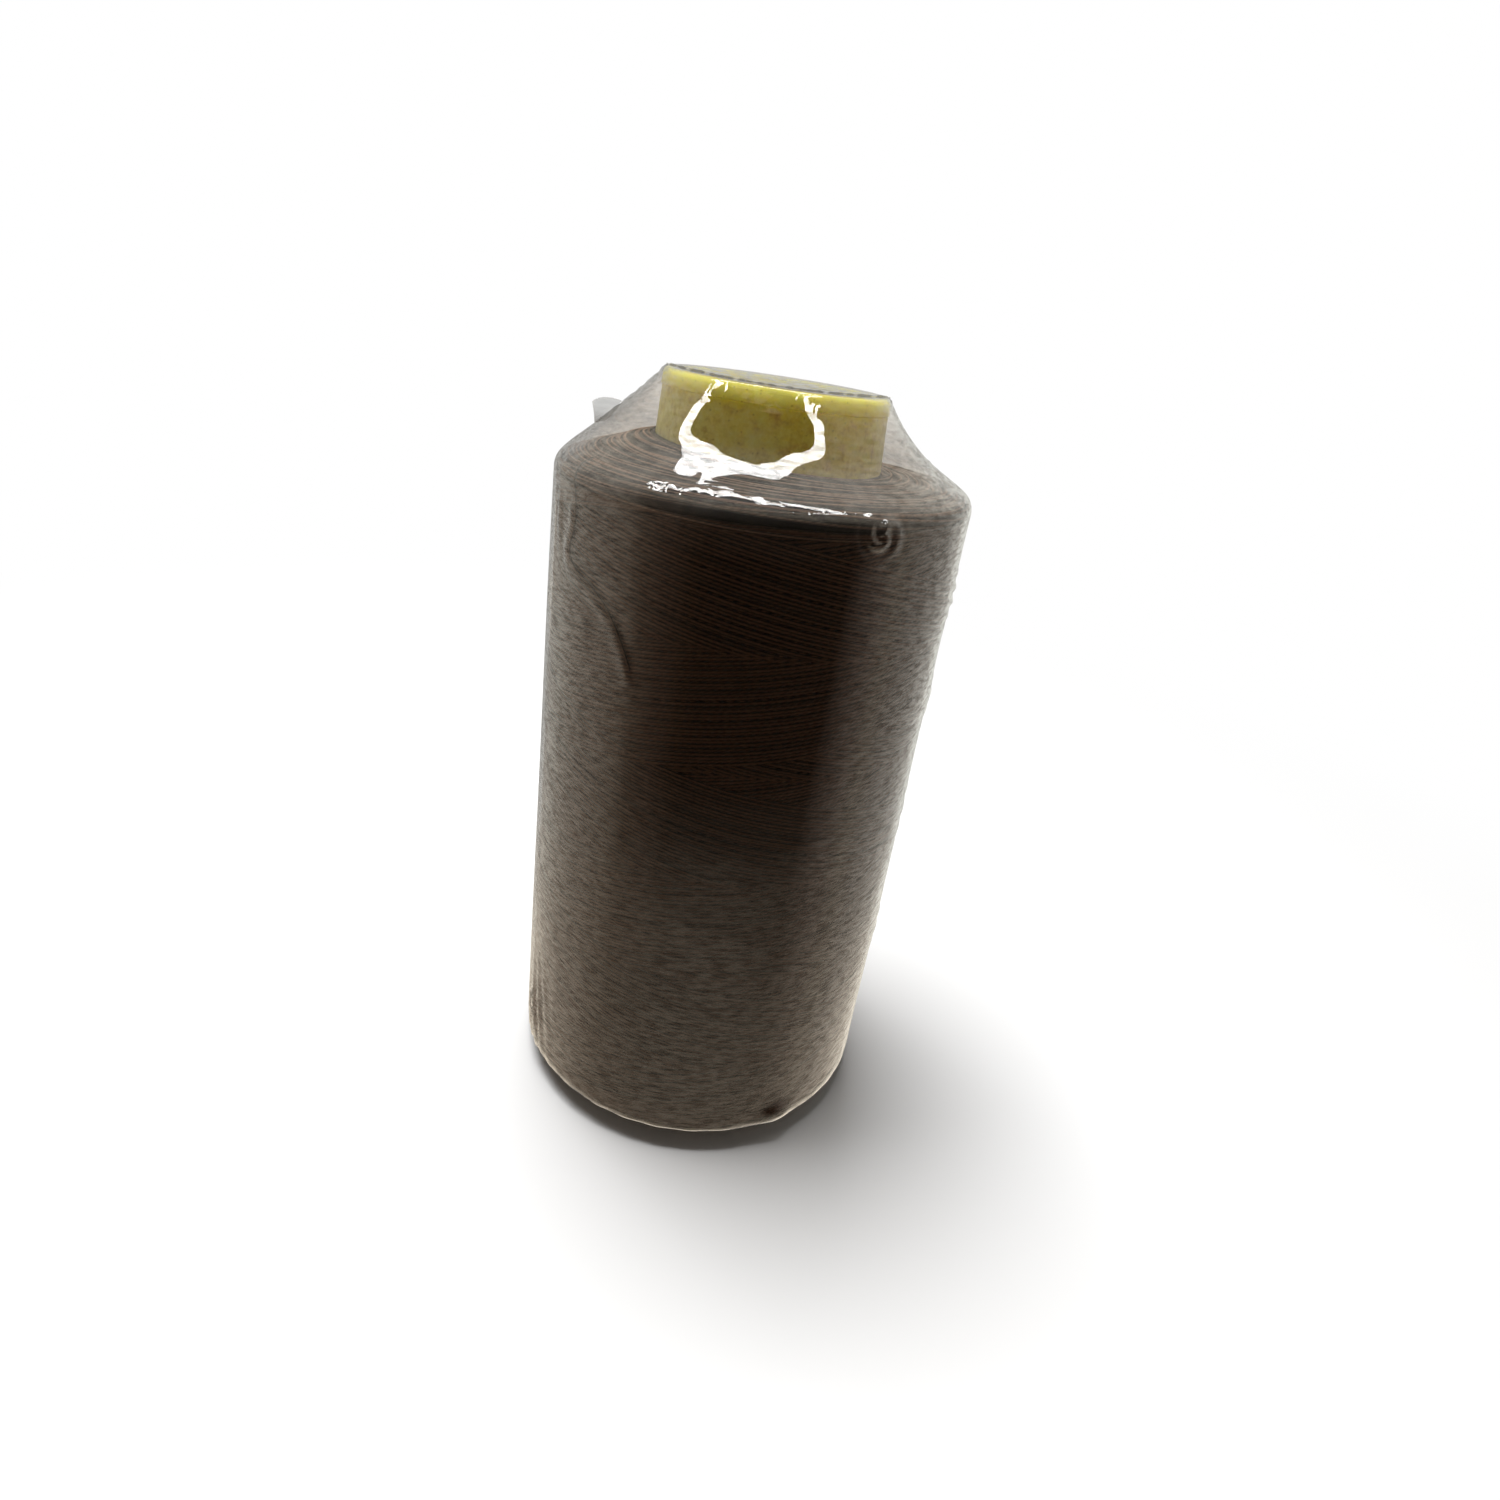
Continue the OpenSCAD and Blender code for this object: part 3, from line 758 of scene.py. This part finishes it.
def film_relief(angle, z):
    """How far the film's wrinkles stand out, in millimetres, at degrees round the axis and millimetres up.

    Each group of wrinkles is a wave from 0 to 1 under a bell curve: a swirl round the vent, folds at the
    right edge and the upper left, pleats at the base and a gather at its lower left. A tuck, a ridge over
    the loose end and a fine crease are bell curves alone, and a slow unevenness is a sum of sines.
    """
    across = np.radians((angle - VENT[0] + 180) % 360 - 180) * SIDE_R_MM
    up = z - VENT[1]
    near = np.hypot(across, up)
    swirl = 0.8 * hill(near, 2.8) * bands(TURN * near / 2.4 + 2.0 * np.arctan2(up, across))

    right = (angle + 180) % 360 - 180
    folds = 0
    for high, mid, tall, side, wide, lean, wave in RIGHT_FOLDS:
        fold = high * hill(z - mid, tall) * hill(right - side, wide)
        folds = folds + fold * bands(TURN * (z + lean * right) / wave)
    left, up = angle - UPPER_LEFT_FOLDS[0], z - UPPER_LEFT_FOLDS[1]
    folds += 0.4 * hill(up, 5.5) * hill(left, 5) * bands(TURN * (z + 0.5 * left) / 3.1)
    left, up = angle - SHOULDER_LEFT_FOLDS[0], z - SHOULDER_LEFT_FOLDS[1]
    folds += 0.3 * hill(up, 5.0) * hill(left, 5) * bands(TURN * (left + 0.2 * z) / 5.5)

    uneven = 0.4 + 0.6 * bands(np.radians(3 * angle))
    pleats = 0.16 * hill(z - 3.5, 2.4) * bands(np.radians(34 * angle)) * uneven
    left, up = angle - GATHER[0], z - GATHER[1]
    gather = 0.75 * hill(up, 8) * hill(left, 8) * bands(TURN * (left + 0.35 * up) / 5.2)
    tuck = 0.9 * hill(z - TUCK[1], 1.5) * hill(angle - TUCK[0], 5)

    on_side = np.array(END_ROUTE[2:])
    steps = np.linspace(0, len(on_side) - 1, 60)
    route = [np.interp(steps, np.arange(len(on_side)), column) for column in on_side.T]
    gap = [np.hypot(np.radians(angle - a) * SIDE_R_MM, z - (EDGE_Z_MM - down)) for a, down in zip(*route)]
    ridge = 0.28 * hill(np.min(gap, axis=0), 0.8)
    crease = 0.07 * hill(angle - CREASE[0] - 0.2 * (z - CREASE[1]), 0.8)
    crease *= smooth(z - 106.5) * smooth((115 - z) / 2)

    slow = 0.05 * (2 + np.sin(np.radians(5 * angle) + z / 17) + np.sin(np.radians(3 * angle) - z / 11))
    slow += 0.018 * smooth((z - 109) / 4) * (2 + np.sin(np.radians(14 * angle) + z)
                                             + np.sin(np.radians(9 * angle) - 1.3 * z))
    relief = swirl + folds + pleats + gather + tuck + ridge + crease + slow
    return relief * smooth((124.5 - z) / 2) * smooth(z - 0.3)


def make_film():
    """The bag of film: its surface sampled in rings, closed at both poles, and given its wall.

    Its columns are closer together at the front.
    """
    columns = 280
    even = np.linspace(0, TURN, columns, endpoint=False)
    angle = even - 0.45 * np.cos(even)
    rows = np.concatenate([np.linspace(0, 1, 18)[1:-1], 1 + np.linspace(0, 1, 26)[:-1],
                           2 + np.linspace(0, 1, 116)[:-1], np.linspace(3, FOOT_ROW, 12)[:-1],
                           np.linspace(FOOT_ROW, 4, 5)[:-1]])
    points = film_surface(*np.broadcast_arrays(angle[None, :], rows[:, None]))
    normal = np.cross(np.roll(points, -1, 1) - np.roll(points, 1, 1), np.gradient(points, axis=0))
    normal /= -np.maximum(np.linalg.norm(normal, axis=-1), 1e-12)[..., None]
    degrees = np.degrees(np.arctan2(points[..., 1], points[..., 0])) % 360
    points = points + normal * (film_relief(degrees, points[..., 2] / MM) * MM)[..., None]
    poles = [[0, 0, MOUTH_Z + FILM_GAP - MOUTH_DISH], [0, 0, FILM_WALL]]
    body = np.concatenate([points.reshape(-1, 3), poles])
    top, under = len(body) - 2, len(body) - 1
    last = top - columns
    faces = grid_faces(len(rows), columns, wrap_columns=True)[:, ::-1].tolist()
    faces += [[top, k, (k + 1) % columns] for k in range(columns)]
    faces += [[under, last + (k + 1) % columns, last + k] for k in range(columns)]
    give_wall(mesh_piece("film_bag", body, faces, "film", FILM, node="shrink_film"), FILM_THICK, 1)


def bead(name, node, angle, rows, thick, seed):
    """A melted seal: a bead along the film at one angle, whose blobs and sway are sums of sines.

    Rows under 0 are on the far side of the mouth.
    """
    t = np.linspace(0, 1, 260)
    start, end = rows
    row = np.clip(np.abs(start + (end - start) * t), 0.001, 3)
    side = np.where(start + (end - start) * t < 0, angle + np.pi, angle)
    points = film_surface(side[None, :], row[None, :])[0]
    ahead = film_surface(side[None, :], row[None, :] + 0.004)[0] - points
    across = np.stack([-np.sin(side), np.cos(side), 0 * side], -1)
    outward = np.cross(ahead, across)
    outward /= np.linalg.norm(outward, axis=1)[:, None]
    outward *= np.sign((outward * (points - [0, 0, MOUTH_Z / 2])).sum(1))[:, None]
    wave = sum(np.sin(t * f + seed * f) for f in (61, 97, 171, 263)) / 4
    blob = sum(np.sin(t * f + seed + f) for f in (140, 217, 331)) / 3
    points = points + across * wave[:, None] * 0.25 * MM + outward * thick * 0.7
    body, faces, uv = tube(points, outward, thick * np.maximum(0.55 + 0.7 * blob, 0.12), 8)
    mesh_piece(name, body, faces, "film", SEAM_FILM, uv, node=node)


def ear_flap():
    """The bag's corner: a rounded flap standing up from the lifted film at -X, curled back over its length.

    u runs inwards along its foot and v up it. Its height falls as a power of u and is rounded off at the
    outer end, and its curl is a sum of sines.
    """
    u = np.linspace(0, 1, 24)[:, None]
    v = np.linspace(0, 1, 16)[None, :]
    foot_r = EAR_R - EAR_LENGTH * u
    tent = film_tent(np.full((1, 200), np.pi), np.linspace(0, 1, 200)[None, :])
    foot_z = np.interp(-foot_r, -tent[0, 0], tent[1, 0]) + 0.05 * MM
    rounded = np.sqrt(np.clip(1 - (0.9 * (1 - u) - 0.1) ** 8, 0, 1))
    high = (EAR_HIGH - EAR_FALL * u ** 1.6) * rounded * MM
    curl = 0.5 * MM * np.sin(np.pi * u) * v ** 2 + 0.35 * MM * np.sin(2.5 * v + 4 * u)
    x = -(foot_r + 0.5 * MM * v ** 2 * (1 - 2 * u))
    points = np.stack(np.broadcast_arrays(x, -curl, foot_z + high * v), -1).reshape(-1, 3)
    flap = mesh_piece("ear_flap", points, grid_faces(24, 16), "film", EAR_FILM, node="seal_ear")
    give_wall(flap, EAR_THICK, 0)


make_film()
bead("mouth_bead", "top_seal_seam", 0.0, (-1.55, 1.85), 0.17 * MM, 1.3)
bead("side_bead", "side_seal_seam", 0.0, (2.05, 2.99), 0.16 * MM, 2.1)
ear_flap()


# ---------------------------------------------------------------- stage, light and camera
# The floor: its tones for the camera and for light from below, and the distances over which it fades to
# white
FLOOR_TONE = (0.87, 0.87, 0.87)
TABLE_TONE = (0.12, 0.09, 0.065)
FLOOR_FADE = (0.07, 0.36)
FLOOR_HALF = 40.0

# The lamp: a rounded rectangle's half sizes, turn and arc, the power that rounds it, and its band's width
LAMP_CENTRE = np.array([-75, -110, 600]) * MM
LAMP_HALF = np.array([285, 196, 0]) * MM
LAMP_TURN = np.radians(-13)
LAMP_ARC = np.radians([-22, 192])
LAMP_ROUND = 0.55
LAMP_BAND = np.array([46, 64, 0]) * MM
LAMP_GLOW = 16.0
LAMP_BODY = (0.05, 0.05, 0.05)

SOFTBOX_PLACE = (-0.16, 0.1, 0.85)
SOFTBOX_SIZE = 0.45
SOFTBOX_POWER = 10.5

# What gloss reflects: colours by degrees round the horizon from the dark middle, and by degrees up, how far
# they give way to the floor's sheen or the room's top. The room is dark behind the camera, dimmer on the
# floor in front and white elsewhere.
DARK_MIDDLE = np.radians(283)
ROOM_ROUND = [(-162, (0.58, 0.57, 0.54)), (-151, (0.74, 0.71, 0.64)), (-138, (0.94, 0.90, 0.79)),
              (-120, (1.10, 1.00, 0.85)), (-97, (1.10, 0.95, 0.78)), (-83, (0.85, 0.71, 0.56)),
              (-71, (0.35, 0.27, 0.20)), (-57, (0.17, 0.12, 0.09)), (-43, (0.03, 0.02, 0.01)),
              (-36, (0, 0, 0)), (38, (0, 0, 0)), (49, (0.30, 0.24, 0.20)), (60, (0.68, 0.57, 0.48)),
              (72, (0.94, 0.83, 0.68)), (87, (1.0, 0.92, 0.81)), (110, (0.96, 0.92, 0.83)),
              (137, (1.08, 1.07, 0.99)), (165, (0.68, 0.67, 0.63))]
ROOM_UP = [(-90, 0.3), (-68, 0.5), (-54, 0.78), (-46, 0.68), (-38, 0.45), (-34, 0.25), (-30, 0.08),
           (-26, 0.0), (12, 0.0), (35, 0.6), (90, 0.8)]
FLOOR_SHEEN = (1.22, 1.04, 0.81)
ROOM_TOP = (0.3, 0.3, 0.3)
ROOM_LIGHT = 0.38

CAMERA_PLACE = Vector((0, -144.84, 132.41)) * MM
CAMERA_PITCH, CAMERA_YAW, CAMERA_ROLL = 0.441, 0.029, 0.152
CAMERA_LENS, CAMERA_SENSOR = 21.43, 36


def stage_mesh(name, points, faces, material, seen=False, gloss=True):
    """A mesh of the stage. It can be seen by all but gloss, or by gloss alone."""
    piece = mesh_piece(name, np.array(points, float), faces, None, material)
    for setting in ("visible_camera", "visible_diffuse", "visible_transmission", "visible_shadow"):
        setattr(piece, setting, seen)
    piece.visible_glossy = gloss


def make_floor():
    """A wide pale floor that the film's foot stands on. Far off it is as white as the background.

    Only the camera sees it pale: what lights the spool from below is a table of a middle tone.
    """
    material, nodes = new_material("pale_floor")
    seen = nodes.make("LightPath").outputs["Is Camera Ray"]
    near = nodes.make("BsdfDiffuse", Color=nodes.mix(seen, TABLE_TONE, FLOOR_TONE))
    away = nodes.make("VectorMath", operation="LENGTH", Vector=nodes.where()).outputs["Value"]
    fade = nodes.span(away, *FLOOR_FADE, interpolation_type="SMOOTHSTEP")
    nodes.show(nodes.mix_shaders(nodes.times(fade, seen), near, nodes.make("Emission")))
    corners = [(x * FLOOR_HALF, y * FLOOR_HALF, 0) for x, y in ((-1, -1), (1, -1), (1, 1), (-1, 1))]
    stage_mesh("floor", corners, [[0, 1, 2, 3]], material, seen=True, gloss=False)


def make_ring_lamp():
    """A rounded rectangle of light overhead, open in front, and the dark body inside it, only for gloss.

    Its corners are the superellipse of a cosine and a sine, each raised to one power with its sign kept.
    """
    lamp, nodes = new_material("ring_light")
    seen = nodes.make("LightPath").outputs["Is Singular Ray"]
    nodes.show(nodes.make("Emission", Strength=nodes.times(seen, LAMP_GLOW)))
    body, nodes = new_material("lamp_body")
    nodes.show(nodes.make("Emission", Color=LAMP_BODY))
    a = np.linspace(*LAMP_ARC, 96)
    circle = np.stack([np.cos(a), np.sin(a), 0 * a], -1)
    corner = np.sign(circle) * np.abs(circle) ** LAMP_ROUND
    turn = np.array(Matrix.Rotation(LAMP_TURN, 3, "Z")).T
    edges = [LAMP_CENTRE + corner * (LAMP_HALF + grow) @ turn for grow in (-LAMP_BAND / 2, LAMP_BAND / 2)]
    stage_mesh("ring_lamp", np.concatenate(edges), grid_faces(2, len(a)), lamp)
    stage_mesh("lamp_middle", edges[0] + [0, 0, 1 * MM], [list(range(len(a)))], body)


def make_world():
    """White for the camera, and a room of ROOM_ROUND and ROOM_UP for gloss and, dimmer, for light."""
    world = bpy.data.worlds.new("white_room")
    bpy.context.scene.world = world
    world.use_nodes = True
    nodes = Nodes(world.node_tree)
    heading = nodes.make("TexCoord").outputs["Generated"]
    reach = []
    for turned in (DARK_MIDDLE, DARK_MIDDLE + np.pi / 2):
        dot = nodes.make("VectorMath", operation="DOT_PRODUCT", Vector=heading)
        dot.inputs[1].default_value = (np.cos(turned), np.sin(turned), 0)
        reach.append(dot.outputs["Value"])
    offset = nodes.plus(nodes.math("DIVIDE", nodes.math("ARCTAN2", reach[1], reach[0]), TURN), 0.5)
    rise = nodes.plus(nodes.math("DIVIDE", nodes.math("ARCSINE", nodes.parts(heading)["Z"]), np.pi), 0.5)
    sides = nodes.ramp(offset, [(0.5 + degrees / 360, colour) for degrees, colour in ROOM_ROUND])
    heights = nodes.ramp(rise, [(0.5 + degrees / 180, level) for degrees, level in ROOM_UP])
    light = nodes.mix(heights, sides, ROOM_TOP)
    dim = nodes.make("VectorMath", operation="SCALE", Scale=ROOM_LIGHT, Vector=light)
    path = nodes.make("LightPath").outputs
    shown = nodes.mix(path["Is Camera Ray"], dim, (1, 1, 1))
    shown = nodes.mix(path["Is Glossy Ray"], shown, nodes.mix(heights, sides, FLOOR_SHEEN))
    nodes.show(nodes.make("Background", Color=shown), "OutputWorld")


def make_softbox():
    """A square softbox overhead that shines straight down and isn't seen in gloss."""
    lamp = bpy.data.lights.new("softbox", "AREA")
    lamp.energy = SOFTBOX_POWER
    lamp.size = SOFTBOX_SIZE
    light = bpy.data.objects.new("softbox", lamp)
    light.location = SOFTBOX_PLACE
    light.visible_glossy = False
    bpy.context.scene.collection.objects.link(light)


def make_camera():
    """The camera close in front and above, tipped down 25 degrees and rolled 9 degrees."""
    ahead = Vector((np.sin(CAMERA_YAW) * np.cos(CAMERA_PITCH), np.cos(CAMERA_YAW) * np.cos(CAMERA_PITCH),
                    -np.sin(CAMERA_PITCH)))
    level = ahead.cross(Vector((0, 0, 1))).normalized()
    upright = level.cross(ahead)
    right = level * np.cos(CAMERA_ROLL) + upright * np.sin(CAMERA_ROLL)
    up = upright * np.cos(CAMERA_ROLL) - level * np.sin(CAMERA_ROLL)
    camera = bpy.data.objects.new("camera", bpy.data.cameras.new("camera"))
    turn = Matrix((right, up, -ahead)).transposed().to_4x4()
    camera.matrix_world = Matrix.Translation(CAMERA_PLACE) @ turn
    camera.data.lens = CAMERA_LENS
    camera.data.sensor_width = CAMERA_SENSOR
    camera.data.clip_start = 0.01
    bpy.context.scene.collection.objects.link(camera)
    bpy.context.scene.camera = camera


make_floor()
make_ring_lamp()
make_world()
make_softbox()
make_camera()
bpy.context.scene.view_settings.view_transform = "Standard"
